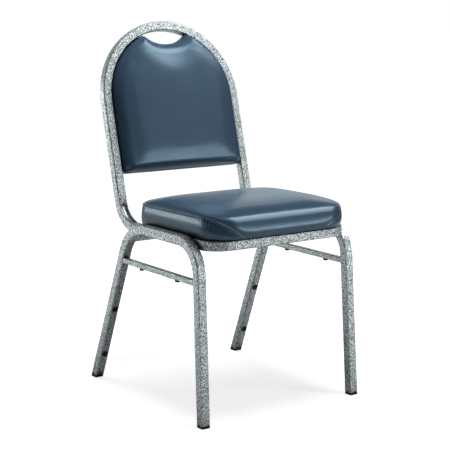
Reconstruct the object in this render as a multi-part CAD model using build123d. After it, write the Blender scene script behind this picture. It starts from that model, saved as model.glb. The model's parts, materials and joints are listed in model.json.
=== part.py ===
from build123d import *
import math
import os

os.makedirs("parts", exist_ok=True)

# Stacking chair with a dome back, in millimetres
# Origin on the floor under the middle, front towards -Y, up +Z

# Frame tube
TUBE = 22.2
TUBE_WALL = 1.2
TUBE_CORNER = 2.2
WELD_GAP = 0.35

# Seat rails and back hoop, on tube centre lines
HOOP_HALF_WIDTH = 183.2
SEAT_FRONT_Y = -243.9
SEAT_FRONT_Z = 396.8
SEAT_DEPTH = 375.0
SEAT_PITCH = 0.8
SEAT_CORNER_RADIUS = 44.0
SPLICE_DISTANCE = 95.0
BACK_LEAN = 14.8
HOOP_SIDE = 296.4
HOOP_BEND_RADIUS = 73.0
HOOP_JOINT = 120.0

# Pressed groove inside the lower hoop bends
GROOVE_RADIUS = 8.5
GROOVE_DEPTH = 5.0
GROOVE_SETBACK = 12.0

# Leg frames
LEG_RAIL_LIFT = 4.8
LEG_SETBACK = 24.3
LEG_RAIL_LENGTH = 281.1
LEG_FRONT_RAKE = 3.6
LEG_REAR_RAKE = 22.45
LEG_SPLAY = 0.77
LEG_FRONT_BEND_RADIUS = 73.0
LEG_REAR_BEND_RADIUS = 100.0

# Side stretchers and rear cross rail
BRACE = 12.7
BRACE_WALL = 1.2
BRACE_CORNER = 1.3
STRETCHER_DROP = 84.6
STRETCHER_INSET = 1.0
CROSS_RAIL_DROP = 33.7
BRACE_END_GAP = 0.2

# Glides, bumpers and buttons
GLIDE_MIN = 4.6
GLIDE_PLUG = 16.0
GLIDE_WALL = 2.4
PLUG_GAP = 0.2
BUMPER_DIAMETER = 12.4
BUMPER_HEIGHT = 4.6
BUMPER_EDGE = 1.2
BUMPER_SPACING = 149.5
BUMPER_FRONT_OFFSET = 81.0
STEM_SQUARE = 4.2
STEM_LENGTH = 7.0
STEM_GAP = 0.2
BUTTON_DIAMETER = 14.0
BUTTON_HEIGHT = 3.6
BUTTON_EDGE = 1.4
BUTTON_LOWER_HEIGHT = 69.0
BUTTON_UPPER_HEIGHT = 192.0

# Covers and cushion crowns
COVER = 1.2
SOFT_GAP = 0.3
COVER_SHARES = (0, 0.3, 0.56, 0.78, 0.92, 0.99)
CORE_SHARES = (0, 0.56, 0.92)
COVER_ROLL_SHARES = (0, 0.42, 0.77, 0.95, 1)
CORE_ROLL_SHARES = (0, 0.77, 1)

# Seat cushion, measured from the rail tops
SEAT_SIDE_LAP = 0.6
SEAT_TUCK = 5.0
SEAT_FRONT_OVERHANG = 12.0
SEAT_REAR_SETBACK = 55.0
SEAT_HEIGHT = 68.0
SEAT_SEAM_HEIGHT = 47.0
SEAT_BELLY_HEIGHT = 22.0
SEAT_FRONT_CORNER = 72.0
SEAT_REAR_CORNER = 52.0
SEAT_CROWN_POWER = 2.6
SEAT_FRONT_ROLL = 34.0
SEAT_ROLL_HEIGHT = 63.0
SEAT_ROLL_POWER = 2.0
SEAT_BOARD = 11.0
SEAM_SETBACK = 40.0
SEAM_END = 122.0
SEAM_BEND = 110.0
HEM = 24.0
HEM_LAP = 4.0
DUST_COVER = 0.8

# Back pad, measured on the hoop plane
PAD_GAP = 0.8
PAD_BOTTOM = 175.0
PAD_CROWN = 30.0
PAD_ROLL = 25.0
PAD_ROLL_POWER = 2.0
PAD_SWELL = 3.5
PAD_SWELL_RUN = 60.0
PAD_BOARD = 10.0
PAD_PANEL = 4.5
PAD_CORNER = 14.0
PAD_HORN = 5.0
SCOOP_DEPTH = 36.0
SCOOP_RADIUS = 96.0

# Tabs and screws
TAB_LENGTH = 24.0
TAB_WIDTH = 20.0
TAB_CORNER = 6.0
TAB_THICK = 2.5
TAB_RECESS = 3.0
TAB_UPPER_LEVEL = -20.0
TAB_LOWER_LEVEL = -140.0
SCREW = 5.0
SCREW_HEAD = 9.0
SCREW_HEAD_HEIGHT = 3.2
SCREW_GAP = 0.3
SCREW_BITE = 8.0
SCREW_FRONT_SETBACK = 75.0
SCREW_REAR_SETBACK = 65.0

# Planes shared by several pieces
LEG_RAIL_HALF = HOOP_HALF_WIDTH + TUBE + WELD_GAP
LEG_RAIL_Z = SEAT_FRONT_Z + LEG_RAIL_LIFT
SEAT_HALF_WIDTH = LEG_RAIL_HALF - TUBE / 2 + SEAT_SIDE_LAP
LEG_FRONT_CORNER_Y = SEAT_FRONT_Y + LEG_SETBACK
LEG_REAR_CORNER_Y = LEG_FRONT_CORNER_Y + LEG_RAIL_LENGTH
SPLAY_SIN = math.sin(math.radians(LEG_SPLAY))
SPLAY_COS = math.cos(math.radians(LEG_SPLAY))
LEAN_SIN = math.sin(math.radians(BACK_LEAN))
LEAN_COS = math.cos(math.radians(BACK_LEAN))
PITCH_SIN = math.sin(math.radians(SEAT_PITCH))
PITCH_COS = math.cos(math.radians(SEAT_PITCH))
SEAT_PLANE = Plane(
    origin=(0, SEAT_FRONT_Y, SEAT_FRONT_Z),
    x_dir=(1, 0, 0),
    z_dir=(0, PITCH_SIN, PITCH_COS),
)
SEAT_TOP_PLANE = SEAT_PLANE.offset(TUBE / 2 + SOFT_GAP)
SEAT_FRONT = -TUBE / 2 - SEAT_FRONT_OVERHANG
SEAT_REAR = SEAT_DEPTH - SEAT_REAR_SETBACK
SEAT_MIDDLE = (SEAT_FRONT + SEAT_REAR) / 2
SCREW_REAR_Y = SEAT_REAR - SCREW_REAR_SETBACK
SCREW_ROWS = [SCREW_FRONT_SETBACK, SCREW_REAR_Y]
HOOP_CORNER = SEAT_PLANE.from_local_coords(Vector(0, SEAT_DEPTH, 0))
DOME_CENTRE = HOOP_CORNER + Vector(0, LEAN_SIN, LEAN_COS) * HOOP_SIDE
HOOP_PLANE = Plane(origin=DOME_CENTRE, x_dir=(1, 0, 0), z_dir=(0, -LEAN_COS, LEAN_SIN))


def square_bar(size, corner):
    return chamfer(Rectangle(size, size).vertices(), corner)


def square_tube(size, corner, wall):
    inside = size - 2 * wall
    return square_bar(size, corner) - Rectangle(inside, inside)


def swept(section, path, side_direction):
    start = Plane(origin=path @ 0, x_dir=side_direction, z_dir=path % 0)
    return sweep(start * section, path=path)


FRAME_TUBE = square_tube(TUBE, TUBE_CORNER, TUBE_WALL)
BRACE_TUBE = square_tube(BRACE, BRACE_CORNER, BRACE_WALL)


# Back hoop

def hoop_arch():
    foot = HOOP_JOINT - HOOP_SIDE
    left = Line((-HOOP_HALF_WIDTH, foot), (-HOOP_HALF_WIDTH, 0))
    dome = ThreePointArc((-HOOP_HALF_WIDTH, 0), (0, HOOP_HALF_WIDTH), (HOOP_HALF_WIDTH, 0))
    right = Line((HOOP_HALF_WIDTH, 0), (HOOP_HALF_WIDTH, foot))
    path = HOOP_PLANE * Wire([left, dome, right])
    return swept(FRAME_TUBE, path, HOOP_PLANE.z_dir)


def side_path(side):
    x = side * HOOP_HALF_WIDTH
    top = HOOP_CORNER + Vector(0, LEAN_SIN, LEAN_COS) * HOOP_JOINT
    splice = SEAT_PLANE.from_local_coords(Vector(0, SPLICE_DISTANCE, 0))
    points = [Vector(x, p.Y, p.Z) for p in (top, HOOP_CORNER, splice)]
    return FilletPolyline(*points, radius=HOOP_BEND_RADIUS)


def bend_plane(side):
    back = Vector(0, LEAN_SIN, LEAN_COS)
    front = Vector(0, -PITCH_COS, PITCH_SIN)
    half_angle = math.radians(back.get_angle(front)) / 2
    reach = HOOP_BEND_RADIUS / math.sin(half_angle)
    centre = HOOP_CORNER + (back + front).normalized() * reach
    return Plane(origin=(side * HOOP_HALF_WIDTH, centre.Y, centre.Z), x_dir=(0, 1, 0), z_dir=(1, 0, 0))


GROOVE_START = SEAT_PITCH - 90 + GROOVE_SETBACK
GROOVE_TURN = 90 - SEAT_PITCH - BACK_LEAN - 2 * GROOVE_SETBACK
BEND_INSIDE = HOOP_BEND_RADIUS - TUBE / 2


def bend_groove():
    reach = BEND_INSIDE + GROOVE_DEPTH - GROOVE_RADIUS
    trough = revolve(Plane.XZ * Pos(reach, 0) * Circle(GROOVE_RADIUS), Axis.Z, GROOVE_TURN)
    end = Pos(reach, 0, 0) * Rot(90, 0, 0) * Sphere(GROOVE_RADIUS)
    ends = [Rot(0, 0, turn) * end for turn in (0, GROOVE_TURN)]
    return Rot(0, 0, GROOVE_START) * (trough + ends)


def pressed_wall():
    near = BEND_INSIDE + TUBE_WALL / 2
    far = BEND_INSIDE + GROOVE_DEPTH + TUBE_WALL
    lap = math.degrees(GROOVE_RADIUS / BEND_INSIDE)
    section = Plane.XZ * Pos((near + far) / 2, 0) * Rectangle(far - near, TUBE - TUBE_WALL)
    return Rot(0, 0, GROOVE_START - lap) * revolve(section, Axis.Z, GROOVE_TURN + 2 * lap)


def back_hoop():
    hoop = hoop_arch()
    for side in (-1, 1):
        run = swept(FRAME_TUBE, side_path(side), Vector(1, 0, 0))
        hoop += run + bend_plane(side) * pressed_wall() - bend_plane(side) * bend_groove()
    return hoop - seat_screw_holes([SCREW_REAR_Y])


def seat_front_rail():
    ends = SPLICE_DISTANCE - BRACE_END_GAP
    points = [
        (-HOOP_HALF_WIDTH, ends),
        (-HOOP_HALF_WIDTH, 0),
        (HOOP_HALF_WIDTH, 0),
        (HOOP_HALF_WIDTH, ends),
    ]
    path = SEAT_PLANE * FilletPolyline(*points, radius=SEAT_CORNER_RADIUS)
    rail = swept(FRAME_TUBE, path, Vector(1, 0, 0))
    return rail - seat_screw_holes([SCREW_FRONT_SETBACK])


# Leg frames, each in a plane that splays outwards to the floor

def leg_plane(side):
    return Plane(
        origin=(side * LEG_RAIL_HALF, 0, LEG_RAIL_Z),
        x_dir=(0, 1, 0),
        z_dir=(SPLAY_COS, 0, side * SPLAY_SIN),
    )


def leg_axis(front):
    rake = math.radians(LEG_FRONT_RAKE if front else LEG_REAR_RAKE)
    corner = LEG_FRONT_CORNER_Y if front else LEG_REAR_CORNER_Y
    outward = -1 if front else 1
    return Vector(corner, 0), Vector(outward * math.sin(rake), -math.cos(rake))


def leg_point(front, height):
    corner, direction = leg_axis(front)
    drop = (LEG_RAIL_Z - height) / SPLAY_COS
    return corner + direction * (drop / -direction.Y)


def leg_end(front):
    direction = leg_axis(front)[1]
    return leg_point(front, GLIDE_MIN + TUBE / 2 * (abs(direction.X) + SPLAY_SIN))


def leg_vector(side, direction):
    plane = leg_plane(side)
    return plane.x_dir * direction.X + plane.y_dir * direction.Y


def button_plane(side, height):
    direction = leg_axis(False)[1]
    forward = Vector(direction.Y, -direction.X)
    face = leg_point(False, height) + forward * (TUBE / 2)
    plane = leg_plane(side)
    return Plane(origin=plane.from_local_coords(face), x_dir=plane.z_dir, z_dir=leg_vector(side, forward))


def leg_frame(side):
    plane = leg_plane(side)
    points = [leg_end(True), leg_axis(True)[0], leg_axis(False)[0], leg_end(False)]
    radii = [LEG_FRONT_BEND_RADIUS, LEG_REAR_BEND_RADIUS]
    path = plane * FilletPolyline(*points, radius=radii)
    frame = swept(FRAME_TUBE, path, plane.z_dir)
    for height in (BUTTON_LOWER_HEIGHT, BUTTON_UPPER_HEIGHT):
        frame -= button_plane(side, height) * stem_hole(TUBE_WALL)
    return frame


def brace_level(drop):
    return LEG_RAIL_Z - drop


def stretcher_plane(side, y):
    plane = leg_plane(side)
    inset = side * (TUBE / 2 - BRACE / 2 - STRETCHER_INSET)
    origin = plane.from_local_coords(Vector(y, -STRETCHER_DROP / SPLAY_COS, inset))
    return Plane(origin=origin, x_dir=plane.z_dir, z_dir=(0, 1, 0))


def side_stretcher(side):
    level = brace_level(STRETCHER_DROP)
    front_y = leg_point(True, level).X
    rear_y = leg_point(False, level).X
    bar = extrude(stretcher_plane(side, front_y) * BRACE_TUBE, rear_y - front_y)
    for front in (True, False):
        bar -= leg_clearance(side, front)
        bar -= bumper_plane(side, front) * stem_hole(BRACE_WALL)
    return bar


def leg_clearance(side, front):
    corner, direction = leg_axis(front)
    plane = leg_plane(side)
    section = Plane(
        origin=plane.from_local_coords(corner),
        x_dir=plane.z_dir,
        z_dir=leg_vector(side, direction),
    )
    return extrude(section * Rectangle(2 * TUBE, TUBE + 2 * BRACE_END_GAP), LEG_RAIL_Z)


def bumper_plane(side, front):
    setback = BUMPER_FRONT_OFFSET + (0 if front else BUMPER_SPACING)
    y = leg_point(True, brace_level(STRETCHER_DROP)).X + setback
    down = -leg_plane(side).y_dir
    middle = stretcher_plane(side, y).origin
    return Plane(origin=middle + down * (BRACE / 2), x_dir=(0, 1, 0), z_dir=down)


def rear_cross_rail():
    level = brace_level(CROSS_RAIL_DROP)
    half = LEG_RAIL_HALF + CROSS_RAIL_DROP * SPLAY_SIN / SPLAY_COS - TUBE / 2 / SPLAY_COS - BRACE_END_GAP
    section = Plane(origin=(-half, leg_point(False, level).X, level), x_dir=(0, 1, 0), z_dir=(1, 0, 0))
    return extrude(section * BRACE_TUBE, 2 * half)


# Plastic and rubber fittings

def foot_glide(side, front):
    plane = leg_plane(side)
    origin = plane.from_local_coords(leg_end(front))
    section = Plane(origin=origin, x_dir=plane.z_dir, z_dir=leg_vector(side, leg_axis(front)[1]))
    cap = extrude(section * square_bar(TUBE, TUBE_CORNER), TUBE)
    above_floor = Pos(origin.X, origin.Y, TUBE) * Box(4 * TUBE, 4 * TUBE, 2 * TUBE)
    inside = TUBE - 2 * TUBE_WALL - 2 * PLUG_GAP
    core = inside - 2 * GLIDE_WALL
    plug = extrude(section * (Rectangle(inside, inside) - Rectangle(core, core)), -GLIDE_PLUG)
    return (cap & above_floor) + plug


def stem_hole(wall):
    side = STEM_SQUARE + 2 * STEM_GAP
    return Box(side, side, 4 * wall)


def plug_button(diameter, height, edge):
    head = Pos(0, 0, height / 2) * Cylinder(diameter / 2, height)
    head = chamfer(head.edges().sort_by(Axis.Z)[-1], edge)
    return head + extrude(Rectangle(STEM_SQUARE, STEM_SQUARE), -STEM_LENGTH)


def stack_bumpers():
    bumper = plug_button(BUMPER_DIAMETER, BUMPER_HEIGHT, BUMPER_EDGE)
    return Compound([bumper_plane(side, front) * bumper for side in (-1, 1) for front in (True, False)])


def leg_buttons():
    button = plug_button(BUTTON_DIAMETER, BUTTON_HEIGHT, BUTTON_EDGE)
    heights = (BUTTON_LOWER_HEIGHT, BUTTON_UPPER_HEIGHT)
    return Compound([button_plane(side, height) * button for side in (-1, 1) for height in heights])


# Seat cushion, built level on the rail tops and then laid on the seat plane

def plan_outline(half, front, rear, front_radius, rear_radius):
    return make_face(
        [
            Line((-half + front_radius, front), (half - front_radius, front)),
            CenterArc((half - front_radius, front + front_radius), front_radius, -90, 90),
            Line((half, front + front_radius), (half, rear - rear_radius)),
            CenterArc((half - rear_radius, rear - rear_radius), rear_radius, 0, 90),
            Line((half - rear_radius, rear), (-half + rear_radius, rear)),
            CenterArc((-half + rear_radius, rear - rear_radius), rear_radius, 90, 90),
            Line((-half, rear - rear_radius), (-half, front + front_radius)),
            CenterArc((-half + front_radius, front + front_radius), front_radius, 180, 90),
        ]
    )


def rounded_share(height, start, top, power):
    rise = min(1.0, max(0.0, (height - start) / (top - start)))
    return (1 - rise**power) ** (1 / power)


def seat_slice(height, inset):
    top = SEAT_HEIGHT - inset
    drawn = SEAT_TUCK * max(0.0, 1 - height / SEAT_BELLY_HEIGHT) ** 2
    crown = rounded_share(height, SEAT_SEAM_HEIGHT, top, SEAT_CROWN_POWER)
    roll = rounded_share(height, SEAT_BELLY_HEIGHT, SEAT_ROLL_HEIGHT - inset, SEAT_ROLL_POWER)
    front_edge = SEAT_FRONT + inset + SEAT_FRONT_ROLL * (1 - roll)
    half = (SEAT_HALF_WIDTH - inset) * crown - drawn
    front = SEAT_MIDDLE + (front_edge - SEAT_MIDDLE) * crown + drawn
    rear = SEAT_MIDDLE + (SEAT_REAR - inset - SEAT_MIDDLE) * crown - drawn
    face = plan_outline(half, front, rear, SEAT_FRONT_CORNER * crown, SEAT_REAR_CORNER * crown)
    return Pos(0, 0, height) * face


def seat_form(inset, base, shares):
    top = SEAT_HEIGHT - inset
    middle = (SEAT_BELLY_HEIGHT + SEAT_SEAM_HEIGHT) / 2
    belly = [base, SEAT_BELLY_HEIGHT / 2, SEAT_BELLY_HEIGHT, middle]
    crown = [SEAT_SEAM_HEIGHT + (top - SEAT_SEAM_HEIGHT) * share for share in shares]
    return loft([seat_slice(height, inset) for height in belly + crown], ruled=True)


def seat_board_blank(thickness):
    inset = COVER + SOFT_GAP
    drawn = SEAT_TUCK + inset
    corners = (SEAT_FRONT_CORNER - inset, SEAT_REAR_CORNER - inset)
    outline = plan_outline(SEAT_HALF_WIDTH - drawn, SEAT_FRONT + drawn, SEAT_REAR - drawn, *corners)
    return Pos(0, 0, COVER) * extrude(outline, thickness)


def seat_screw_axes(setbacks):
    return [Pos(side * HOOP_HALF_WIDTH, setback, 0) for setback in setbacks for side in (-1, 1)]


def seat_screw_holes(setbacks):
    hole = Cylinder(SCREW / 2 + SCREW_GAP, 2 * TUBE)
    return [SEAT_PLANE * axis * hole for axis in seat_screw_axes(setbacks)]


def screw_pilot(start):
    depth = SCREW_BITE + SCREW_GAP
    return Pos(0, 0, start + depth / 2) * Cylinder(SCREW / 2 + SCREW_GAP / 2, depth)


def seat_board():
    board = seat_board_blank(SEAT_BOARD)
    pilots = [axis * screw_pilot(COVER) for axis in seat_screw_axes(SCREW_ROWS)]
    return SEAT_TOP_PLANE * (board - pilots)


def seat_foam():
    core = seat_form(COVER + SOFT_GAP, COVER, CORE_SHARES)
    return SEAT_TOP_PLANE * (core - seat_board_blank(SEAT_BOARD + SOFT_GAP))


def seat_mouth(lap):
    half = HOOP_HALF_WIDTH - TUBE / 2 - lap
    corner = SEAT_CORNER_RADIUS - TUBE / 2
    return plan_outline(half, TUBE / 2 + lap, SEAT_REAR - HEM - lap, corner, corner)


def seat_cover():
    skin = seat_form(0, 0, COVER_SHARES) - seat_form(COVER, COVER, CORE_SHARES)
    mouth = extrude(seat_mouth(HEM_LAP), 2 * COVER, both=True)
    hole = Cylinder(SCREW / 2 + SCREW_GAP, 4 * COVER)
    return skin - mouth - [axis * hole for axis in seat_screw_axes(SCREW_ROWS)]


def seat_dust_cover():
    return SEAT_TOP_PLANE * Pos(0, 0, -SOFT_GAP) * extrude(seat_mouth(2 * SOFT_GAP), -DUST_COVER)


def seam_tool():
    start = Vector(-SEAT_HALF_WIDTH, SEAT_FRONT + SEAM_SETBACK, 0)
    end = Vector(-SEAM_END, SEAT_FRONT, 0)
    run = (end - start).length
    reach = 2 * SEAT_DEPTH
    below = -SEAT_HEIGHT
    fall = SEAT_SEAM_HEIGHT / run
    line = FilletPolyline(
        (-reach, SEAT_SEAM_HEIGHT),
        (0, SEAT_SEAM_HEIGHT),
        (run * 2, SEAT_SEAM_HEIGHT - fall * run * 2),
        radius=SEAM_BEND,
    )
    finish = line @ 1
    profile = make_face(
        line.edges()
        + [
            Line((finish.X, finish.Y), (finish.X, below)),
            Line((finish.X, below), (-reach, below)),
            Line((-reach, below), (-reach, SEAT_SEAM_HEIGHT)),
        ]
    )
    plane = Plane(origin=start, x_dir=end - start, z_dir=(end - start).cross(Vector(0, 0, 1)))
    slab = extrude(plane * profile, reach, both=True)
    half_space = Pos(-reach / 2, 0, 0) * Box(reach, 2 * reach, 2 * reach)
    left = slab & half_space
    return left + mirror(left, Plane.YZ)


def seat_top_panel():
    return SEAT_TOP_PLANE * (seat_cover() - seam_tool())


def seat_boxing():
    return SEAT_TOP_PLANE * (seat_cover() & seam_tool())


# Back pad, built flat on the hoop plane with its front towards local +Z

TAB_BACK = TAB_RECESS - TUBE / 2
PANEL_BACK = TAB_BACK + TAB_THICK + SOFT_GAP
BOARD_BACK = PANEL_BACK + PAD_PANEL
BOARD_FRONT = BOARD_BACK + PAD_BOARD
PAD_FRONT = TUBE / 2 + PAD_CROWN
PAD_HALF = HOOP_HALF_WIDTH - TUBE / 2 - PAD_GAP
SCOOP_CENTRE = HOOP_HALF_WIDTH - TUBE / 2 - SCOOP_DEPTH + SCOOP_RADIUS


def across(point):
    return Vector(-point.X, point.Y)


def pad_outline(inset):
    half = PAD_HALF - inset
    bottom = inset - PAD_BOTTOM
    scoop = SCOOP_RADIUS + inset
    horn_reach = half - PAD_HORN
    horn_y = (horn_reach**2 - (scoop + PAD_HORN) ** 2 + SCOOP_CENTRE**2) / (2 * SCOOP_CENTRE)
    horn = Vector(math.sqrt(horn_reach**2 - horn_y**2), horn_y)
    to_scoop = (Vector(0, SCOOP_CENTRE) - horn).normalized()
    on_dome = horn.normalized() * half
    on_horn = horn + (horn.normalized() + to_scoop).normalized() * PAD_HORN
    on_scoop = horn + to_scoop * PAD_HORN
    shoulder = math.atan2(on_dome.Y, on_dome.X) / 2
    on_shoulder = Vector(math.cos(shoulder), math.sin(shoulder)) * half
    return make_face(
        [
            Line((PAD_CORNER - half, bottom), (half - PAD_CORNER, bottom)),
            CenterArc((half - PAD_CORNER, bottom + PAD_CORNER), PAD_CORNER, -90, 90),
            Line((half, bottom + PAD_CORNER), (half, 0)),
            ThreePointArc((half, 0), on_shoulder, on_dome),
            ThreePointArc(on_dome, on_horn, on_scoop),
            ThreePointArc(on_scoop, (0, SCOOP_CENTRE - scoop), across(on_scoop)),
            ThreePointArc(across(on_scoop), across(on_horn), across(on_dome)),
            ThreePointArc(across(on_dome), across(on_shoulder), (-half, 0)),
            Line((-half, 0), (-half, bottom + PAD_CORNER)),
            CenterArc((PAD_CORNER - half, bottom + PAD_CORNER), PAD_CORNER, 180, 90),
        ]
    )


def pad_form(inset, shares):
    edge = BOARD_FRONT
    front = PAD_FRONT - PAD_SWELL - inset
    slices = []
    for share in shares:
        level = edge + (front - edge) * share
        drawn = PAD_ROLL * (1 - rounded_share(level, edge, front, PAD_ROLL_POWER))
        slices.append(Pos(0, 0, level) * pad_outline(inset + drawn))
    slices.append(Pos(0, 0, front + PAD_SWELL) * pad_outline(inset + PAD_ROLL + PAD_SWELL_RUN))
    rim = extrude(Pos(0, 0, BOARD_BACK) * pad_outline(inset), edge - BOARD_BACK)
    return rim + loft(slices, ruled=True)


def pad_slab(inset, low, high):
    return extrude(Pos(0, 0, low) * pad_outline(inset), high - low)


def tab_points():
    reach = HOOP_HALF_WIDTH - TUBE / 2 - TAB_LENGTH / 2
    return [(side * reach, level) for level in (TAB_UPPER_LEVEL, TAB_LOWER_LEVEL) for side in (-1, 1)]


def at_tabs(piece):
    return [Pos(x, y, 0) * piece for x, y in tab_points()]


def back_front_cover():
    return HOOP_PLANE * (pad_form(0, COVER_ROLL_SHARES) - pad_form(COVER, CORE_ROLL_SHARES))


def back_foam():
    in_front = pad_slab(0, BOARD_FRONT + SOFT_GAP, PAD_FRONT)
    return HOOP_PLANE * (pad_form(COVER + SOFT_GAP, CORE_ROLL_SHARES) & in_front)


def back_board():
    board = pad_slab(COVER + SOFT_GAP, BOARD_BACK, BOARD_FRONT)
    return HOOP_PLANE * (board - at_tabs(screw_pilot(BOARD_BACK)))


def back_rear_panel():
    panel = pad_slab(0, PANEL_BACK, BOARD_BACK - SOFT_GAP)
    return HOOP_PLANE * (panel - at_tabs(Cylinder(SCREW / 2 + SCREW_GAP, 4 * TUBE)))


def back_tabs():
    outline = Rectangle(TAB_LENGTH, TAB_WIDTH)
    outline = chamfer(outline.vertices().group_by(Axis.X)[0], TAB_CORNER)
    plate = Pos(0, 0, TAB_BACK) * extrude(outline - Circle(SCREW / 2 + SCREW_GAP), TAB_THICK)
    tabs = []
    for x, y in tab_points():
        turned = plate if x > 0 else Rot(0, 0, 180) * plate
        tabs.append(HOOP_PLANE * Pos(x, y, 0) * turned)
    return Compound(tabs)


# Wood screws with hexagon heads

def screw(length):
    head = extrude(RegularPolygon(SCREW_HEAD / 2, 6, major_radius=False), -SCREW_HEAD_HEIGHT)
    shank = Pos(0, 0, length / 2) * Cylinder(SCREW / 2, length)
    return head + shank


def back_screws():
    piece = Pos(0, 0, TAB_BACK) * screw(BOARD_BACK + SCREW_BITE - TAB_BACK)
    return Compound([HOOP_PLANE * placed for placed in at_tabs(piece)])


def seat_screws():
    piece = Pos(0, 0, -TUBE / 2) * screw(TUBE + SOFT_GAP + COVER + SCREW_BITE)
    return Compound([SEAT_PLANE * axis * piece for axis in seat_screw_axes(SCREW_ROWS)])


SIDES = {"left": -1, "right": 1}
ENDS = {"front": True, "rear": False}

pieces = {
    "back_hoop": back_hoop(),
    "seat_front_rail": seat_front_rail(),
    "rear_cross_rail": rear_cross_rail(),
    "seat_board": seat_board(),
    "seat_foam": seat_foam(),
    "seat_top_panel": seat_top_panel(),
    "seat_boxing": seat_boxing(),
    "seat_dust_cover": seat_dust_cover(),
    "seat_screws": seat_screws(),
    "back_board": back_board(),
    "back_foam": back_foam(),
    "back_front_cover": back_front_cover(),
    "back_rear_panel": back_rear_panel(),
    "back_tabs": back_tabs(),
    "back_screws": back_screws(),
    "stack_bumpers": stack_bumpers(),
    "leg_buttons": leg_buttons(),
}
for hand, side in SIDES.items():
    pieces[f"{hand}_leg_frame"] = leg_frame(side)
    pieces[f"{hand}_side_stretcher"] = side_stretcher(side)
    for end, front in ENDS.items():
        pieces[f"{hand}_{end}_glide"] = foot_glide(side, front)

for name, piece in pieces.items():
    export_step(piece, f"parts/{name}.step")
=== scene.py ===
import json
import math

import bmesh
import bpy
import numpy as np
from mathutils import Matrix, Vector
from mathutils.bvhtree import BVHTree


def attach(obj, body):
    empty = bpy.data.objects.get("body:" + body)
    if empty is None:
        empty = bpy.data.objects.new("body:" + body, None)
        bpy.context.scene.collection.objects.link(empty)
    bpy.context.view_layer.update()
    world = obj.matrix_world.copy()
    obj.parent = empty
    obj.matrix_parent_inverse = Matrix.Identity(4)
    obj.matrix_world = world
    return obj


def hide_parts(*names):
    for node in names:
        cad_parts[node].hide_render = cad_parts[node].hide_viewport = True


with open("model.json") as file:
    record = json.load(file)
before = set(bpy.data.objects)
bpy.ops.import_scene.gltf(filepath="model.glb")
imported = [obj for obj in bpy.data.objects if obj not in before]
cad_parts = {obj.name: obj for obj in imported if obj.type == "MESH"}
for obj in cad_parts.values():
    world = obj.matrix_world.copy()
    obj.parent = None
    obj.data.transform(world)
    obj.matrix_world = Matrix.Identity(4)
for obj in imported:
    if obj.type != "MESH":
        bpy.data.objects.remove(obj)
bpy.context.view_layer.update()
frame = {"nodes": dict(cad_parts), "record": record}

MM = 0.001

# Camera, fitted to the photograph
CAMERA_AZIMUTH = -34.97
CAMERA_ELEVATION = 9.98
CAMERA_DISTANCE = 2943.3 * MM
CAMERA_TARGET = Vector((-0.2, -25.0, 395.4)) * MM
CAMERA_LENS = 99.66
SENSOR_WIDTH = 36.0

# Angles of the seat and of the back hoop
SEAT_PITCH = math.radians(0.8)
BACK_LEAN = math.radians(14.8)

# Frame tube
TUBE = 22.2 * MM

# Surface finish
PAINT_EDGE_RADIUS = 1.6 * MM
# Reach of the painted shade that darkens the paint and vinyl colours in hollows and gaps
PAINT_HOLLOW_SHADE_REACH = 26.0 * MM
VINYL_HOLLOW_SHADE_REACH = 32.0 * MM
SHADER_SAMPLES = 6

# Cushion making: an even mesh is swollen as cloth, which takes up the inset left for it
VOXEL = 5.0 * MM
RELAX_FACTOR = 0.5
RELAX_ROUNDS = 4
SWELL = 2.5 * MM
SWELL_CAP = 3.2 * MM
PRESSURE = 4.0
SWELL_ROUNDS = 40
SIM_FRAMES = 20
TINY = 1e-9
CORNER_POINTS = 24
EDGE_POINTS = 40

# Seat cushion form, heights above the rail tops
SEAT_SEAM_HEIGHT = 47.5 * MM
SEAT_BELLY_HEIGHT = 22.0 * MM
SEAT_CROWN = 0.2 * MM
SEAT_TUCK = 5.0 * MM
SEAT_FRONT_CORNER = 72.0 * MM
SEAT_TOP_CORNER = 55.0 * MM
SEAT_REAR_CORNER = 52.0 * MM
SEAT_SIDE_POWER = 3.4
SEAT_FRONT_POWER = 2.6
SEAT_FRONT_ROLL = 34.0 * MM
SEAT_ROLL_HEIGHT = 63.0 * MM
SEAT_ROLL_POWER = 2.0
SEAT_RECESS = 2.2 * MM
SEAT_SIDE_RINGS = 9
SEAT_CROWN_TURNS = np.linspace(0.08, 0.95, 14)
SEAT_HELD_REACH = 0.7 * VOXEL
SEAT_HELD_HEIGHT = 0.8 * VOXEL
SEAT_BASE_HEIGHT = 1.2 * VOXEL

# Seat seam: a crease, and a row of stitches one band below it
SEAM_PITCH = VOXEL / 2
SEAM_FALL_POWER = 2.2
SEAM_BAND = 9.0 * MM
SEAM_FIELD = 16.0 * MM
SEAM_PULL = 3.0 * MM
SEAM_PULL_WIDTH = 12.5 * MM
SEAM_PULL_START = 12.0 * MM
FAR_SEAM_SHARE = 0.35
CREASE_DEPTH = 2.2 * MM
CREASE_WIDTH = 2.2 * MM
BAND_RISE = 0.8 * MM
ROW_DEPTH = 1.4 * MM
ROW_WIDTH = 1.8 * MM

# Puckers under the stitch row, deepest at one place near each front corner
PUCKER_DEPTH = 1.7 * MM
PUCKER_PITCH = 8.5 * MM
PUCKER_FADE = 9.0 * MM
PUCKER_PLACE = 110.0 * MM
PUCKER_REACH = 45.0 * MM
PUCKER_ELSEWHERE = 0.05
PUCKER_DRIFT = 2.2
PUCKER_DRIFT_RUN = 3.7 * PUCKER_PITCH
PUCKER_UNEVEN = 0.35
PUCKER_UNEVEN_RUN = 1.6 * PUCKER_PITCH

# Stitches: the shape is a share of the length and a share of the radius, from end to end
STITCH_PITCH = 4.6 * MM
STITCH_LENGTH = 3.6 * MM
STITCH_RADIUS = 0.5 * MM
STITCH_SINK = 0.6
STITCH_SIDES = 6
STITCH_SHAPE = [(-0.5, 0.25), (-0.38, 0.8), (0.0, 1.0), (0.38, 0.8), (0.5, 0.25)]

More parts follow.
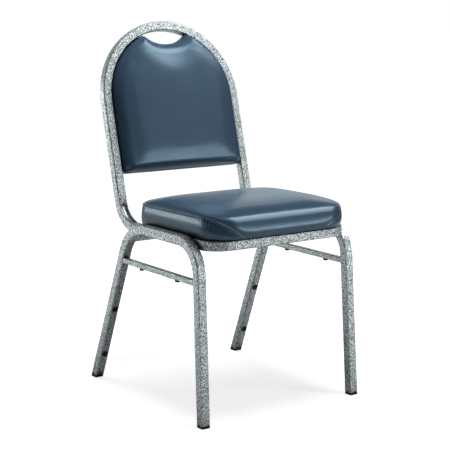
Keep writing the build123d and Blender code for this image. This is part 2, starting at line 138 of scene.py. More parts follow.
# Back pad form, measured on the hoop plane
PAD_GAP = 0.8 * MM
PAD_ROLL = 25.0 * MM
PAD_ROLL_POWER = 2.2
PAD_FOOT_SHARE = 0.6
PAD_SIDE_SHARE = 0.65
PAD_SWELL = 3.5 * MM
PAD_CORNER = 14.0 * MM
PAD_HORN = 5.0 * MM
PAD_RIM = 10.0 * MM
PAD_RIM_RINGS = 3
PAD_ROLL_TURNS = np.linspace(0.1, 1.0, 10)
PAD_INSET_TURN = 0.5
PAD_FACE_SHARES = np.linspace(0.12, 0.9, 8)
SCOOP_DEPTH = 36.0 * MM
SCOOP_RADIUS = 96.0 * MM

# Floor and room; a step is where it starts and ends, and the value before and after it
FLOOR_HALF = 30.0
FLOOR_COLOR = (0.6, 0.6, 0.6, 1)
FLOOR_GLOW = 0.745
FLOOR_GLOW_STEP = (0.3, 0.95, FLOOR_GLOW, 1.0)
ROOM_COLOR = (0.86, 0.96, 1.0, 1)
WHITE = (1, 1, 1, 1)
ROOM_LIGHT = 0.03
BACKDROP_LIGHT = 1.0
UPWARD = (0.0, 0.0, 1.0)
SWEEP_SIDE = (0.45, 0.89, 0.0)
SWEEP_SIDE_STEP = (0.4, 0.85, 0.0, 1.0)
SWEEP_HEIGHT_STEP = (0.26, 0.5, 1.0, 0.0)

# Share of the floor's white that the object mirrors: by distance, then along three ways across the floor
MIRROR_NEAR_STEP = (0.3, 1.5, 0.0, 1.0)
MIRROR_SIDE_STEPS = (
    ((0.0, 1.0, 0.0), (-2.2, -0.8, 0.12, 0.72)),
    ((-1.0, -0.8, 0.0), (1.2, 2.6, 1.0, 0.08)),
    ((1.0, 0.6, 0.0), (1.0, 2.2, 1.0, 0.2)),
)

# Points that the lamps are aimed at
SEAT_AIM = (0, 0, 0.5)
RAIL_AIM = (0, 0, 0.45)


# Local frames

class Local:
    """An origin with three axes, for sizes measured along a tilted seat or back."""

    def __init__(self, x, y, z):
        self.origin = np.zeros(3)
        self.axes = np.array([x, y, z], float)

    def to_world(self, points):
        return self.origin + np.asarray(points, float) @ self.axes

    def extent(self, *nodes):
        points = np.array([v.co for n in nodes for v in frame["nodes"][n].data.vertices], float)
        local = (points - self.origin) @ self.axes.T
        return local.min(0), local.max(0)


SEAT_AXES = (
    (1, 0, 0),
    (0, math.cos(SEAT_PITCH), -math.sin(SEAT_PITCH)),
    (0, math.sin(SEAT_PITCH), math.cos(SEAT_PITCH)),
)
BACK_AXES = (
    (1, 0, 0),
    (0, math.sin(BACK_LEAN), math.cos(BACK_LEAN)),
    (0, -math.cos(BACK_LEAN), math.sin(BACK_LEAN)),
)


# Shader nodes

def set_sockets(node, values):
    for socket, value in values.items():
        node.inputs[socket.replace("_", " ")].default_value = value


def add_node(tree, kind, **values):
    """A new node with the given constants on its sockets."""
    node = tree.nodes.new(kind)
    set_sockets(node, values)
    return node


class Shader:
    """A principled material that is built node by node."""

    def __init__(self, name, color, roughness, **values):
        self.material = bpy.data.materials.new(name)
        self.material.use_nodes = True
        self.tree = self.material.node_tree
        self.surface = self.tree.nodes["Principled BSDF"]
        set_sockets(self.surface, {"Base_Color": (*color, 1), "Roughness": roughness, **values})
        self.place = self.tree.nodes.new("ShaderNodeTexCoord").outputs["Object"]

    def link(self, output, socket):
        self.tree.links.new(output, socket)

    def stretched(self, scale):
        mapping = add_node(self.tree, "ShaderNodeMapping", Scale=scale)
        self.link(self.place, mapping.inputs["Vector"])
        return mapping.outputs["Vector"]

    def noise(self, scale, detail=3.0, roughness=0.55, swirl=0.0, place=None):
        node = add_node(
            self.tree,
            "ShaderNodeTexNoise",
            Scale=scale,
            Detail=detail,
            Roughness=roughness,
            Distortion=swirl,
        )
        self.link(place or self.place, node.inputs["Vector"])
        return node.outputs["Fac"]

    def cells(self, scale, feature="DISTANCE_TO_EDGE"):
        node = add_node(self.tree, "ShaderNodeTexVoronoi", Scale=scale)
        node.feature = feature
        self.link(self.place, node.inputs["Vector"])
        return node.outputs["Distance"]

    def ramp(self, value, stops):
        node = self.tree.nodes.new("ShaderNodeValToRGB")
        elements = node.color_ramp.elements
        while len(elements) < len(stops):
            elements.new(0.5)
        for element, (position, color) in zip(elements, stops):
            element.position = position
            element.color = (*color, 1)
        self.link(value, node.inputs["Fac"])
        return node.outputs["Color"]

    def span(self, value, low, high):
        node = add_node(self.tree, "ShaderNodeMapRange", To_Min=low, To_Max=high)
        self.link(value, node.inputs["Value"])
        return node.outputs["Result"]

    def mixed(self, first, second, blend="MIX"):
        mix = self.tree.nodes.new("ShaderNodeMix")
        mix.data_type = "RGBA"
        mix.blend_type = blend
        self.link(first, mix.inputs["A"])
        self.link(second, mix.inputs["B"])
        return mix

    def shaded_in_hollows(self, color, reach):
        """Painted shade: darkens a colour by ambient occlusion in corners, crevices and gaps between
        parts.
        """
        hollow = add_node(self.tree, "ShaderNodeAmbientOcclusion", Distance=reach)
        hollow.samples = SHADER_SAMPLES
        shade = self.ramp(
            hollow.outputs["AO"],
            [(0.4, (0.04, 0.04, 0.04)), (0.85, (1.0, 1.0, 1.0))],
        )
        mix = self.mixed(color, shade, "MULTIPLY")
        mix.inputs["Factor"].default_value = 1.0
        return mix.outputs["Result"]

    def by_facing(self, upright, level):
        """One colour on upright faces and another on level ones."""
        facing = self.tree.nodes.new("ShaderNodeNewGeometry")
        split = self.tree.nodes.new("ShaderNodeSeparateXYZ")
        self.link(facing.outputs["Normal"], split.inputs[0])
        size = self.tree.nodes.new("ShaderNodeMath")
        size.operation = "ABSOLUTE"
        self.link(split.outputs["Z"], size.inputs[0])
        mix = self.mixed(upright, level)
        self.link(size.outputs[0], mix.inputs["Factor"])
        return mix.outputs["Result"]

    def color(self, output):
        self.link(output, self.surface.inputs["Base Color"])

    def rough(self, output):
        self.link(output, self.surface.inputs["Roughness"])

    def round_edges(self, radius):
        node = add_node(self.tree, "ShaderNodeBevel", Radius=radius)
        node.samples = SHADER_SAMPLES
        self.link(node.outputs["Normal"], self.surface.inputs["Normal"])

    def bump(self, height, distance, strength):
        """Adds a bump over whatever already shapes the normal."""
        node = add_node(self.tree, "ShaderNodeBump", Strength=strength, Distance=distance)
        self.link(height, node.inputs["Height"])
        below = self.surface.inputs["Normal"]
        if below.is_linked:
            self.link(below.links[0].from_socket, node.inputs["Normal"])
        self.link(node.outputs["Normal"], below)


# Materials

def silver_vein_paint():
    paint = Shader("silver_vein_paint", (0.4, 0.45, 0.455), 0.3, Metallic=0.84)
    veins = paint.noise(430, detail=1.5, roughness=0.5, swirl=0.8)
    silver = paint.ramp(
        veins,
        [
            (0.34, (0.04, 0.05, 0.052)),
            (0.45, (0.22, 0.26, 0.265)),
            (0.53, (0.55, 0.61, 0.62)),
            (0.64, (0.88, 0.94, 0.945)),
        ],
    )
    # Painted shade: the silver is darkened by ambient occlusion in hollows and gaps between parts
    paint.color(paint.shaded_in_hollows(silver, PAINT_HOLLOW_SHADE_REACH))
    paint.rough(paint.span(veins, 0.5, 0.38))
    paint.round_edges(PAINT_EDGE_RADIUS)
    paint.bump(paint.noise(700, detail=1.0), 0.2 * MM, 0.12)
    return paint.material


def slate_vinyl():
    vinyl = Shader(
        "slate_vinyl",
        (0.040, 0.077, 0.125),
        0.28,
        IOR=1.65,
        Specular_Tint=(0.55, 0.82, 1.0, 1.0),
    )
    shade = vinyl.noise(22, detail=4.0)
    slate = vinyl.ramp(shade, [(0.3, (0.037, 0.071, 0.117)), (0.7, (0.043, 0.082, 0.134))])
    # Painted shade: the slate is darkened by ambient occlusion in hollows and gaps, such as under the
    # seat and beside the hoop
    vinyl.color(vinyl.shaded_in_hollows(slate, VINYL_HOLLOW_SHADE_REACH))
    vinyl.rough(vinyl.span(vinyl.noise(160), 0.26, 0.34))
    vinyl.bump(vinyl.cells(1100), 0.25 * MM, 0.1)
    vinyl.bump(vinyl.noise(70, detail=2.0), 0.6 * MM, 0.03)
    return vinyl.material


def sewn_thread():
    thread = Shader("sewn_thread", (0.11, 0.14, 0.17), 0.55)
    twist = thread.noise(1500, detail=2.0)
    thread.color(thread.ramp(twist, [(0.3, (0.07, 0.09, 0.115)), (0.7, (0.16, 0.20, 0.235))]))
    thread.bump(twist, 0.15 * MM, 0.5)
    return thread.material


def black_plastic():
    plastic = Shader("black_plastic", (0.012, 0.012, 0.013), 0.42, Specular_IOR_Level=0.3)
    wear = plastic.noise(60, detail=5.0)
    black = plastic.ramp(wear, [(0.35, (0.004, 0.004, 0.005)), (0.75, (0.012, 0.012, 0.013))])
    plastic.color(black)
    plastic.rough(plastic.span(wear, 0.34, 0.52))
    plastic.bump(plastic.noise(900), 0.1 * MM, 0.3)
    return plastic.material


def black_rubber():
    rubber = Shader("black_rubber", (0.010, 0.010, 0.010), 0.6, Specular_IOR_Level=0.3)
    dust = rubber.noise(140, detail=4.0)
    rubber.color(rubber.ramp(dust, [(0.4, (0.004, 0.004, 0.004)), (0.8, (0.012, 0.012, 0.012))]))
    rubber.bump(rubber.noise(700), 0.12 * MM, 0.4)
    return rubber.material


def plywood():
    wood = Shader("plywood", (0.42, 0.27, 0.14), 0.6)
    grain = wood.noise(14, detail=6.0, place=wood.stretched((1, 14, 14)))
    veneer = wood.ramp(grain, [(0.3, (0.33, 0.20, 0.095)), (0.7, (0.50, 0.34, 0.19))])
    # Upright edge faces are near-black, darker than the vinyl that wraps them: painted shade for the dark
    # line under the cushion
    edge = wood.ramp(grain, [(0.3, (0.005, 0.006, 0.008)), (0.7, (0.010, 0.012, 0.015))])
    wood.color(wood.by_facing(edge, veneer))
    wood.bump(grain, 0.3 * MM, 0.4)
    return wood.material


def dust_cloth():
    cloth = Shader("dust_cloth", (0.014, 0.014, 0.015), 0.9)
    fibre = cloth.noise(900, detail=4.0, place=cloth.stretched((1, 0.25, 1)))
    cloth.color(cloth.ramp(fibre, [(0.3, (0.008, 0.008, 0.009)), (0.75, (0.032, 0.032, 0.034))]))
    cloth.bump(fibre, 0.3 * MM, 0.6)
    return cloth.material


def zinc_plate():
    zinc = Shader("zinc_plate", (0.55, 0.55, 0.52), 0.34, Metallic=1.0)
    cloud = zinc.noise(300, detail=4.0)
    zinc.color(zinc.ramp(cloud, [(0.3, (0.46, 0.46, 0.44)), (0.7, (0.62, 0.62, 0.57))]))
    zinc.rough(zinc.span(cloud, 0.25, 0.45))
    return zinc.material


def raw_foam():
    foam = Shader("raw_foam", (0.72, 0.62, 0.40), 0.95)
    pores = foam.cells(600, "F1")
    foam.color(foam.ramp(pores, [(0.1, (0.50, 0.42, 0.25)), (0.6, (0.78, 0.68, 0.46))]))
    foam.bump(pores, 0.6 * MM, 0.6)
    return foam.material


MATERIALS = {
    "frame_paint": silver_vein_paint(),
    "vinyl": slate_vinyl(),
    "foam": raw_foam(),
    "plywood": plywood(),
    "dust_cloth": dust_cloth(),
    "zinc_screw": zinc_plate(),
    "glide_plastic": black_plastic(),
    "black_rubber": black_rubber(),
}
SLOT_OF = {part["node"]: part["material_slot"] for part in frame["record"]["subparts"]}


def dress(piece, slot):
    piece.data.materials.clear()
    piece.data.materials.append(MATERIALS[slot])


for name, node in frame["nodes"].items():
    dress(node, SLOT_OF[name])


# Mesh helpers

def add_object(name, data):
    piece = bpy.data.objects.new(name, data)
    bpy.context.scene.collection.objects.link(piece)
    return piece


def ring_mesh(name, rings):
    """A closed skin through rings of equally many points, flat at the first and pointed over the last."""
    count = len(rings[0])
    points = [tuple(p) for ring in rings for p in ring]
    points.append(tuple(np.mean(rings[-1], axis=0)))
    faces = [list(range(count))[::-1]]
    for level in range(len(rings) - 1):
        low = level * count
        for i in range(count):
            j = (i + 1) % count
            faces.append((low + i, low + j, low + count + j, low + count + i))
    last = (len(rings) - 1) * count
    for i in range(count):
        faces.append((last + i, last + (i + 1) % count, len(points) - 1))
    mesh = bpy.data.meshes.new(name)
    mesh.from_pydata(points, [], faces)
    return mesh


def baked(piece):
    """The same piece with its modifiers worked into its mesh."""
    bpy.context.view_layer.update()
    scene_now = bpy.context.evaluated_depsgraph_get()
    mesh = bpy.data.meshes.new_from_object(piece.evaluated_get(scene_now))
    piece.modifiers.clear()
    piece.data = mesh
    return piece


def vertex_values(piece, field):
    flat = np.zeros(len(piece.data.vertices) * 3)
    piece.data.vertices.foreach_get(field, flat)
    return flat.reshape(-1, 3)


def points_of(piece):
    return vertex_values(piece, "co")


def normals_of(piece):
    return vertex_values(piece, "normal")


def set_points(piece, points):
    piece.data.vertices.foreach_set("co", np.asarray(points, float).ravel())
    piece.data.update()


def mark(piece, name, chosen):
    """A vertex group that holds the chosen points."""
    group = piece.vertex_groups.new(name=name)
    group.add([int(i) for i in np.flatnonzero(chosen)], 1.0, "REPLACE")


def shade_smooth(piece):
    piece.data.polygons.foreach_set("use_smooth", [True] * len(piece.data.polygons))


def split_edges(piece, chosen):
    """Halves each edge that has both its points chosen."""
    work = bmesh.new()
    work.from_mesh(piece.data)
    work.verts.ensure_lookup_table()
    edges = [e for e in work.edges if chosen[e.verts[0].index] and chosen[e.verts[1].index]]
    bmesh.ops.subdivide_edges(work, edges=edges, cuts=1, use_grid_fill=True)
    work.to_mesh(piece.data)
    work.free()


def spread(piece, values, rounds):
    """Averages values over each point's neighbours, round by round."""
    flat = np.zeros(len(piece.data.edges) * 2, int)
    piece.data.edges.foreach_get("vertices", flat)
    ends = flat.reshape(-1, 2)
    count = np.bincount(flat, minlength=len(values))[:, None]
    for _ in range(rounds):
        total = np.zeros_like(values)
        np.add.at(total, ends[:, 0], values[ends[:, 1]])
        np.add.at(total, ends[:, 1], values[ends[:, 0]])
        values = 0.5 * values + 0.5 * total / count
    return values


# Lines and profiles

def arc(centre, radius, start, end, count):
    angles = np.radians(np.linspace(start, end, count, endpoint=False))
    across = centre[0] + radius * np.cos(angles)
    along = centre[1] + radius * np.sin(angles)
    return np.stack([across, along], axis=1)


def straight(start, end, count):
    return np.linspace(start, end, count, endpoint=False)


def rounded_share(height, start, top, power):
    """The share of the full width that is left at a height, rounded off from the start to the top."""
    rise = min(1.0, max(0.0, (height - start) / (top - start)))
    return (1 - rise**power) ** (1 / power)


def near(points, line):
    """Distance from each point to the nearest point of a line, and that line point's index."""
    best = np.full(len(points), np.inf)
    index = np.zeros(len(points), int)
    for i, spot in enumerate(line):
        gap = np.linalg.norm(points - spot, axis=1)
        closer = gap < best
        best[closer] = gap[closer]
        index[closer] = i
    return best, index


def even_line(line, pitch):
    """The same polyline with points one pitch apart."""
    run = np.concatenate([[0], np.cumsum(np.linalg.norm(np.diff(line, axis=0), axis=1))])
    stations = np.arange(0, run[-1], pitch)
    return np.stack([np.interp(stations, run, line[:, k]) for k in range(3)], axis=1)


def hump(distance, width):
    return np.exp(-((distance / width) ** 2))


def step_up(value, width):
    return 0.5 + 0.5 * np.tanh(value / width)


# Stuffed covers

def remeshed(name, skin):
    """A piece with an even mesh that lies on the skin."""
    piece = add_object(name, skin.data.copy())
    remesh = piece.modifiers.new("remesh", "REMESH")
    remesh.mode = "VOXEL"
    remesh.voxel_size = VOXEL
    relax = piece.modifiers.new("relax", "SMOOTH")
    relax.factor = RELAX_FACTOR
    relax.iterations = RELAX_ROUNDS
    wrap = piece.modifiers.new("wrap", "SHRINKWRAP")
    wrap.target = skin
    return baked(piece)


def swell(piece, held):
    """Presses a piece out from inside as cloth, with the held points pinned."""
    rest = points_of(piece)
    mark(piece, "held", held(rest))
    cloth = piece.modifiers.new("cloth", "CLOTH")
    cloth.settings.vertex_group_mass = "held"
    cloth.settings.use_pressure = True
    cloth.settings.uniform_pressure_force = PRESSURE
    cloth.settings.effector_weights.gravity = 0
    for step in range(1, SIM_FRAMES + 1):
        bpy.context.scene.frame_set(step)
    baked(piece)
    bpy.context.scene.frame_set(1)
    moved = points_of(piece) - rest
    length = np.linalg.norm(moved, axis=1, keepdims=True)
    moved *= np.minimum(1, SWELL_CAP / np.maximum(length, TINY))
    set_points(piece, rest + spread(piece, moved, SWELL_ROUNDS))


def padded_form(name, rings, held, base, fine=None):
    """A stuffed cover made from a closed skin, smoothed, with its base set back on that skin."""
    skin = add_object(name + "_skin", ring_mesh(name + "_skin", rings))
    piece = remeshed(name, skin)
    swell(piece, held)
    if fine:
        split_edges(piece, fine(points_of(piece)))
    finer = piece.modifiers.new("finer", "SUBSURF")
    finer.levels = 1
    baked(piece)
    mark(piece, "foot", base(points_of(piece)))
    seat_down = piece.modifiers.new("seat_down", "SHRINKWRAP")
    seat_down.target = skin
    seat_down.vertex_group = "foot"
    baked(piece)
    bpy.data.objects.remove(skin)
    shade_smooth(piece)
    return piece


# Seat cushion

SEAT = Local(*SEAT_AXES)
seat_low, seat_high = SEAT.extent("seat_top_panel", "seat_boxing")
SEAT.origin = SEAT.to_world((0, 0, seat_low[2]))
SEAT_HALF = seat_high[0]
SEAT_FRONT = seat_low[1]
SEAT_REAR = seat_high[1]
SEAT_MIDDLE = (SEAT_FRONT + SEAT_REAR) / 2
SEAT_HEIGHT = seat_high[2] - seat_low[2] + SEAT_CROWN


def seat_ring(height, inset):
    """The cushion's outline at a height, counted from the left end of the front edge."""
    top = SEAT_HEIGHT - inset
    drawn = SEAT_TUCK * max(0.0, 1 - height / SEAT_BELLY_HEIGHT) ** 2
    wide = rounded_share(height, SEAT_SEAM_HEIGHT, top, SEAT_SIDE_POWER)
    deep = rounded_share(height, SEAT_SEAM_HEIGHT, top, SEAT_FRONT_POWER)
    roll = rounded_share(height, SEAT_BELLY_HEIGHT, SEAT_ROLL_HEIGHT - inset, SEAT_ROLL_POWER)
    front_edge = SEAT_FRONT + inset + SEAT_FRONT_ROLL * (1 - roll)
    half = (SEAT_HALF - inset) * wide - drawn
    front = SEAT_MIDDLE + (front_edge - SEAT_MIDDLE) * deep + drawn
    rear = SEAT_MIDDLE + (SEAT_REAR - inset - SEAT_MIDDLE) * deep - drawn
    eased = min(1.0, height / SEAT_ROLL_HEIGHT)
    near_radius = (SEAT_FRONT_CORNER + (SEAT_TOP_CORNER - SEAT_FRONT_CORNER) * eased) * deep
    far_radius = SEAT_REAR_CORNER * deep
    plan = np.concatenate(
        [
            straight((-half + near_radius, front), (half - near_radius, front), EDGE_POINTS),
            arc((half - near_radius, front + near_radius), near_radius, -90, 0, CORNER_POINTS),
            straight((half, front + near_radius), (half, rear - far_radius), EDGE_POINTS),
            arc((half - far_radius, rear - far_radius), far_radius, 0, 90, CORNER_POINTS),
            straight((half - far_radius, rear), (-half + far_radius, rear), EDGE_POINTS),
            arc((-half + far_radius, rear - far_radius), far_radius, 90, 180, CORNER_POINTS),
            straight((-half, rear - far_radius), (-half, front + near_radius), EDGE_POINTS),
            arc((-half + near_radius, front + near_radius), near_radius, 180, 270, CORNER_POINTS),
        ]
    )
    return np.column_stack([plan, np.full(len(plan), height)])


def seat_rings(inset):
    rise = SEAT_HEIGHT - inset - SEAT_SEAM_HEIGHT
    sides = np.linspace(0, SEAT_SEAM_HEIGHT, SEAT_SIDE_RINGS)
    crown = [SEAT_SEAM_HEIGHT + rise * math.sin(math.pi / 2 * turn) for turn in SEAT_CROWN_TURNS]
    heights = [*sides, *crown]
    return [seat_ring(height, inset * min(1.0, height / SEAT_BELLY_HEIGHT)) for height in heights]


def seat_seam(inset):
    """The line between top panel and boxing: level round the back, falling round both front corners."""
    count = len(seat_ring(0, inset)) - EDGE_POINTS
    line = []
    for step in range(count + 1):
        corner = min(step, count - step) / CORNER_POINTS
        height = SEAT_SEAM_HEIGHT * (1 - max(0.0, 1 - corner) ** SEAM_FALL_POWER)
        ring = seat_ring(height, inset)
        line.append(ring[(EDGE_POINTS + step) % len(ring)])
    return np.array(line)


SEAM = even_line(seat_seam(SWELL), SEAM_PITCH)


def seat_held(points):
    gap, _ = near(points, SEAM)
    return (gap < SEAT_HELD_REACH) | (points[:, 2] < SEAT_HELD_HEIGHT)


def seat_base(points):
    return points[:, 2] < SEAT_BASE_HEIGHT


def seat_fine(points):
    gap, _ = near(points, SEAM)
    return gap < SEAM_FIELD


def puckers(side, run):
    """Short uneven folds that fade out below the stitch row."""
    from_end = np.minimum(run, len(SEAM) * SEAM_PITCH - run)
    where = hump(from_end - PUCKER_PLACE, PUCKER_REACH) + PUCKER_ELSEWHERE
    drift = PUCKER_DRIFT * np.sin(run / PUCKER_DRIFT_RUN)
    wave = np.sin(2 * math.pi * run / PUCKER_PITCH + drift)
    wave *= 1 - PUCKER_UNEVEN + PUCKER_UNEVEN * np.sin(run / PUCKER_UNEVEN_RUN)
    fade = np.exp(np.minimum(side, 0) / PUCKER_FADE)
    return PUCKER_DEPTH * where * wave * fade * step_up(-side, ROW_WIDTH)


def seam_relief(points, normals):
    """How far the crease, the felled band, the stitch row and the puckers lift or sink the cover."""
    gap, index = near(points, SEAM)
    along = np.gradient(SEAM, axis=0)
    along /= np.linalg.norm(along, axis=1, keepdims=True)
    above = np.einsum("ij,ij->i", points - SEAM[index], np.cross(normals, along[index]))
    side = np.sign(above) * gap
    pulled = SEAM_PULL * step_up(points[:, 2] - SEAM_PULL_START, VOXEL)
    relief = -pulled * hump(side, SEAM_PULL_WIDTH)
    relief -= CREASE_DEPTH * hump(side - SEAM_BAND, CREASE_WIDTH)
    relief += BAND_RISE * step_up(side, ROW_WIDTH / 2) * step_up(SEAM_BAND - side, CREASE_WIDTH)
    relief -= ROW_DEPTH * hump(side, ROW_WIDTH)
    relief += puckers(side, index * SEAM_PITCH)
    flatter = FAR_SEAM_SHARE + (1 - FAR_SEAM_SHARE) * step_up(-points[:, 0], SEAT_FRONT_CORNER)
    return relief * flatter * np.minimum(1, points[:, 2] / SEAM_PULL_START)


def seat_cushion():
    cushion = padded_form("seat_cushion", seat_rings(SWELL), seat_held, seat_base, seat_fine)
    points = points_of(cushion)
    normals = normals_of(cushion)
    points += normals * seam_relief(points, normals)[:, None]
    points[:, 2] = np.maximum(points[:, 2], SEAT_RECESS)
    set_points(cushion, SEAT.to_world(points))
    return cushion


# Stitches

def stitch_points(place, along, normal):
    """Rings of points round one thread that lies on the cover."""
    across = normal.cross(along)
    points = []
    for share, girth in STITCH_SHAPE:
        lift = normal * STITCH_RADIUS * (girth - STITCH_SINK)
        middle = place + along * share * STITCH_LENGTH + lift
        for turn in np.linspace(0, 2 * math.pi, STITCH_SIDES, endpoint=False):
            rim = across * math.cos(turn) + normal * math.sin(turn)
            points.append(middle + rim * STITCH_RADIUS * girth)
    return points


def stitch_faces(first):
    """The sides and both ends of one thread whose points start at the first index."""
    faces = []
    for ring in range(len(STITCH_SHAPE) - 1):
        low = first + ring * STITCH_SIDES
        for k in range(STITCH_SIDES):
            a = low + k
            b = low + (k + 1) % STITCH_SIDES
            faces.append((a, b, b + STITCH_SIDES, a + STITCH_SIDES))
    last = first + (len(STITCH_SHAPE) - 1) * STITCH_SIDES
    faces.append(tuple(range(first, first + STITCH_SIDES))[::-1])
    faces.append(tuple(range(last, last + STITCH_SIDES)))
    return faces


def seat_stitches(cushion):
    """Short threads lying along the stitch row."""
    surface = BVHTree.FromPolygons(
        [v.co for v in cushion.data.vertices],
        [p.vertices for p in cushion.data.polygons],
    )
    line = SEAT.to_world(even_line(SEAM, STITCH_PITCH))
    points = []
    faces = []
    for i in range(1, len(line) - 1):
        place, normal, _, _ = surface.find_nearest(Vector(line[i]))
        along = Vector(line[i + 1] - line[i - 1])
        along = (along - along.dot(normal) * normal).normalized()
        faces += stitch_faces(len(points))
        points += stitch_points(place, along, normal)
    mesh = bpy.data.meshes.new("seat_stitches")
    mesh.from_pydata(points, [], faces)
    stitches = add_object("seat_stitches", mesh)
    shade_smooth(stitches)
    return stitches


# Back pad

BACK = Local(*BACK_AXES)
_, hoop_high = BACK.extent("back_hoop")
HOOP_HALF = hoop_high[0]
BACK.origin = BACK.to_world((0, hoop_high[1] - HOOP_HALF, 0))
pad_low, pad_high = BACK.extent("back_front_cover")
PAD_HALF = HOOP_HALF - TUBE - PAD_GAP
SCOOP_CENTRE = HOOP_HALF - TUBE - SCOOP_DEPTH + SCOOP_RADIUS


def pad_ring(level, inset):
    """The pad's outline at a level: a dome with rounded feet and a scooped top between two horns."""
    half = PAD_HALF - PAD_SIDE_SHARE * inset
    bottom = pad_low[1] + PAD_FOOT_SHARE * inset
    scoop = SCOOP_RADIUS + inset
    reach = half - PAD_HORN
    horn_y = (reach**2 - (scoop + PAD_HORN) ** 2 + SCOOP_CENTRE**2) / (2 * SCOOP_CENTRE)
    horn_x = math.sqrt(reach**2 - horn_y**2)
    shoulder = math.degrees(math.atan2(horn_y, horn_x))
    lip = math.degrees(math.atan2(SCOOP_CENTRE - horn_y, -horn_x))
    mouth = math.degrees(math.atan2(horn_x, SCOOP_CENTRE - horn_y))
    low = bottom + PAD_CORNER
    side = half - PAD_CORNER
    plan = np.concatenate(
        [
            straight((-side, bottom), (side, bottom), EDGE_POINTS),
            arc((side, low), PAD_CORNER, -90, 0, CORNER_POINTS),
            straight((half, low), (half, 0), EDGE_POINTS),
            arc((0, 0), half, 0, shoulder, EDGE_POINTS),
            arc((horn_x, horn_y), PAD_HORN, shoulder, lip, CORNER_POINTS),
            arc((0, SCOOP_CENTRE), scoop, mouth - 90, -90 - mouth, EDGE_POINTS),
            arc((-horn_x, horn_y), PAD_HORN, 180 - lip, 180 - shoulder, CORNER_POINTS),
            arc((0, 0), half, 180 - shoulder, 180, EDGE_POINTS),
            straight((-half, 0), (-half, low), EDGE_POINTS),
            arc((-side, low), PAD_CORNER, 180, 270, CORNER_POINTS),
        ]
    )
    return np.column_stack([plan, np.full(len(plan), level)])


def pad_swell(ring, share):
    """Lifts a ring by a low dome over the middle of the pad."""
    reach = np.array([PAD_HALF, (PAD_HALF - pad_low[1]) / 2])
    middle = np.array([0.0, (PAD_HALF + pad_low[1]) / 2])
    dome = np.prod(1 - ((ring[:, :2] - middle) / reach) ** 2, axis=1)
    return ring + np.outer(PAD_SWELL * share * np.maximum(dome, 0), (0, 0, 1))


def pad_rings(inset):
    edge = pad_low[2] + PAD_RIM
    front = pad_high[2] - PAD_SWELL - inset
    rings = [pad_ring(level, 0) for level in np.linspace(pad_low[2], edge, PAD_RIM_RINGS)]
    for turn in PAD_ROLL_TURNS:
        level = edge + (front - edge) * math.sin(math.pi / 2 * turn)
        drawn = PAD_ROLL * (1 - rounded_share(level, edge, front, PAD_ROLL_POWER))
        ring = pad_ring(level, inset * min(1.0, turn / PAD_INSET_TURN) + drawn)
        rings.append(pad_swell(ring, turn**2))
    rim = rings[-1] * (1, 1, 0) + (0, 0, front)
    middle = (rim.min(0) + rim.max(0)) / 2
    for share in PAD_FACE_SHARES:
        rings.append(pad_swell(middle + (rim - middle) * (1 - share), 1.0))
    return rings


def pad_held(points):
    return points[:, 2] < pad_low[2] + PAD_RIM


def back_pad():
    pad = padded_form("back_pad", pad_rings(SWELL), pad_held, pad_held)
    set_points(pad, BACK.to_world(points_of(pad)))
    return pad


# Soft pieces in the frame

seat = seat_cushion()
stitches = seat_stitches(seat)
back = back_pad()
for piece, nodes in (
    (seat, ("seat_top_panel", "seat_boxing", "seat_foam")),
    (back, ("back_front_cover", "back_foam")),
):
    dress(piece, "vinyl")
    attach(piece, "root")
    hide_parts(*nodes)
stitches.data.materials.append(sewn_thread())
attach(stitches, "root")


# Studio

def area_light(name, place, aim, size, power, fills=True, shows=True):
    """A lamp that can leave out its fill light, or its own reflection."""
    lamp = bpy.data.lights.new(name, "AREA")
    lamp.shape = "RECTANGLE"
    lamp.size, lamp.size_y = size
    lamp.energy = power
    light = add_object(name, lamp)
    light.location = place
    light.rotation_euler = (Vector(aim) - Vector(place)).to_track_quat("-Z", "Y").to_euler()
    light.visible_diffuse = fills
    light.visible_glossy = shows


def smooth_step(tree, value, numbers):
    node = tree.nodes.new("ShaderNodeMapRange")
    node.interpolation_type = "SMOOTHSTEP"
    for socket, number in zip(("From Min", "From Max", "To Min", "To Max"), numbers):
        node.inputs[socket].default_value = number
    tree.links.new(value, node.inputs["Value"])
    return node.outputs["Result"]


def arithmetic(tree, operation, first, second):
    node = tree.nodes.new("ShaderNodeMath")
    node.operation = operation
    tree.links.new(first, node.inputs[0])
    tree.links.new(second, node.inputs[1])
    return node.outputs[0]


def reach_along(tree, place, direction):
    node = tree.nodes.new("ShaderNodeVectorMath")
    node.operation = "DOT_PRODUCT"
    node.inputs[1].default_value = direction
    tree.links.new(place, node.inputs[0])
    return node.outputs["Value"]


def distance_from_middle(tree, place):
    node = tree.nodes.new("ShaderNodeVectorMath")
    node.operation = "LENGTH"
    tree.links.new(place, node.inputs[0])
    return node.outputs["Value"]


def seen_directly(tree, path):
    """One for a ray that comes from the camera, through glass or not, and nought for others."""
    camera_ray = path.outputs["Is Camera Ray"]
    return arithmetic(tree, "MAXIMUM", camera_ray, path.outputs["Is Transmission Ray"])


def floor_glow(tree):
    """The floor's own strength: up to white for the camera, and by shares where it is mirrored."""
    place = tree.nodes.new("ShaderNodeTexCoord").outputs["Object"]
    path = tree.nodes.new("ShaderNodeLightPath")
    distance = distance_from_middle(tree, place)
    seen = smooth_step(tree, distance, FLOOR_GLOW_STEP)
    seen = arithmetic(tree, "MULTIPLY", seen_directly(tree, path), seen)
    mirrored = smooth_step(tree, distance, MIRROR_NEAR_STEP)
    for direction, numbers in MIRROR_SIDE_STEPS:
        share = smooth_step(tree, reach_along(tree, place, direction), numbers)
        mirrored = arithmetic(tree, "MULTIPLY", mirrored, share)
    mirrored = arithmetic(tree, "MULTIPLY", path.outputs["Is Glossy Ray"], mirrored)
    return arithmetic(tree, "MAXIMUM", seen, mirrored)


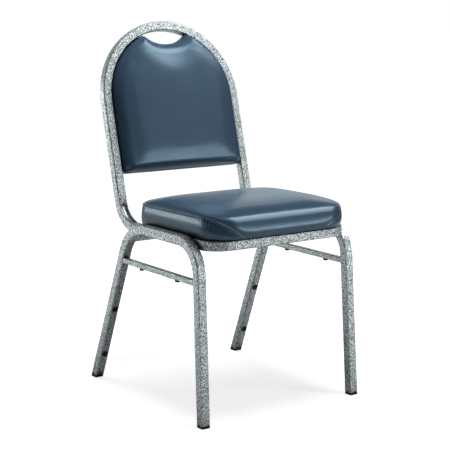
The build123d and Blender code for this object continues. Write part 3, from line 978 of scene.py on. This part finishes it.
def studio_floor():
    """A pale floor that keeps the shadow near the object and runs out to the white of the background."""
    corners = ((-1, -1), (1, -1), (1, 1), (-1, 1))
    mesh = bpy.data.meshes.new("floor")
    mesh.from_pydata([(x * FLOOR_HALF, y * FLOOR_HALF, 0) for x, y in corners], [], [(0, 1, 2, 3)])
    material = bpy.data.materials.new("pale_floor")
    material.use_nodes = True
    tree = material.node_tree
    tree.nodes.remove(tree.nodes["Principled BSDF"])
    diffuse = add_node(tree, "ShaderNodeBsdfDiffuse", Color=FLOOR_COLOR)
    glow = tree.nodes.new("ShaderNodeEmission")
    tree.links.new(floor_glow(tree), glow.inputs["Strength"])
    both = tree.nodes.new("ShaderNodeAddShader")
    tree.links.new(diffuse.outputs[0], both.inputs[0])
    tree.links.new(glow.outputs[0], both.inputs[1])
    tree.links.new(both.outputs[0], tree.nodes["Material Output"].inputs["Surface"])
    mesh.materials.append(material)
    floor = add_object("floor", mesh)


def studio_world():
    """White to the camera; to all else a white sweep low behind the object and a dim room round it."""
    world = bpy.data.worlds.new("studio")
    world.use_nodes = True
    tree = world.node_tree
    room = tree.nodes["Background"]
    room.inputs["Color"].default_value = ROOM_COLOR
    white = add_node(tree, "ShaderNodeBackground", Color=WHITE)
    place = tree.nodes.new("ShaderNodeTexCoord").outputs["Generated"]
    behind = smooth_step(tree, reach_along(tree, place, SWEEP_SIDE), SWEEP_SIDE_STEP)
    low = smooth_step(tree, reach_along(tree, place, UPWARD), SWEEP_HEIGHT_STEP)
    sweep = arithmetic(tree, "MULTIPLY", behind, low)
    level = smooth_step(tree, sweep, (0.0, 1.0, ROOM_LIGHT, BACKDROP_LIGHT))
    tree.links.new(level, room.inputs["Strength"])
    path = tree.nodes.new("ShaderNodeLightPath")
    mix = tree.nodes.new("ShaderNodeMixShader")
    tree.links.new(seen_directly(tree, path), mix.inputs["Fac"])
    tree.links.new(room.outputs[0], mix.inputs[1])
    tree.links.new(white.outputs[0], mix.inputs[2])
    tree.links.new(mix.outputs[0], tree.nodes["World Output"].inputs["Surface"])
    bpy.context.scene.world = world


def photo_camera():
    azimuth = math.radians(CAMERA_AZIMUTH)
    elevation = math.radians(CAMERA_ELEVATION)
    backward = Vector(
        (
            math.sin(azimuth) * math.cos(elevation),
            -math.cos(azimuth) * math.cos(elevation),
            math.sin(elevation),
        )
    )
    lens = bpy.data.cameras.new("photo_camera")
    lens.lens = CAMERA_LENS
    lens.sensor_width = SENSOR_WIDTH
    camera = add_object("photo_camera", lens)
    camera.location = CAMERA_TARGET + backward * CAMERA_DISTANCE
    camera.rotation_euler = backward.to_track_quat("Z", "Y").to_euler()
    bpy.context.scene.camera = camera


studio_floor()
studio_world()
area_light("overhead", (0.0, -0.1, 3.0), SEAT_AIM, size=(1.4, 1.4), power=64, shows=False)
area_light("front_high", (1.6, -2.1, 2.6), SEAT_AIM, size=(1.0, 0.8), power=21, shows=False)
area_light("front_card", (2.0, -2.7, 1.78), SEAT_AIM, size=(1.8, 0.7), power=3)
area_light("right_card", (1.42, -0.78, 2.58), SEAT_AIM, size=(1.4, 1.6), power=56, fills=False)
area_light("front_strip", (1.7, -2.6, 0.7), RAIL_AIM, size=(1.0, 0.35), power=16, fills=False)
area_light("back_left", (-2.15, 2.15, 0.8), RAIL_AIM, size=(2.0, 0.4), power=19, fills=False)
photo_camera()
bpy.context.scene.view_settings.view_transform = "Standard"
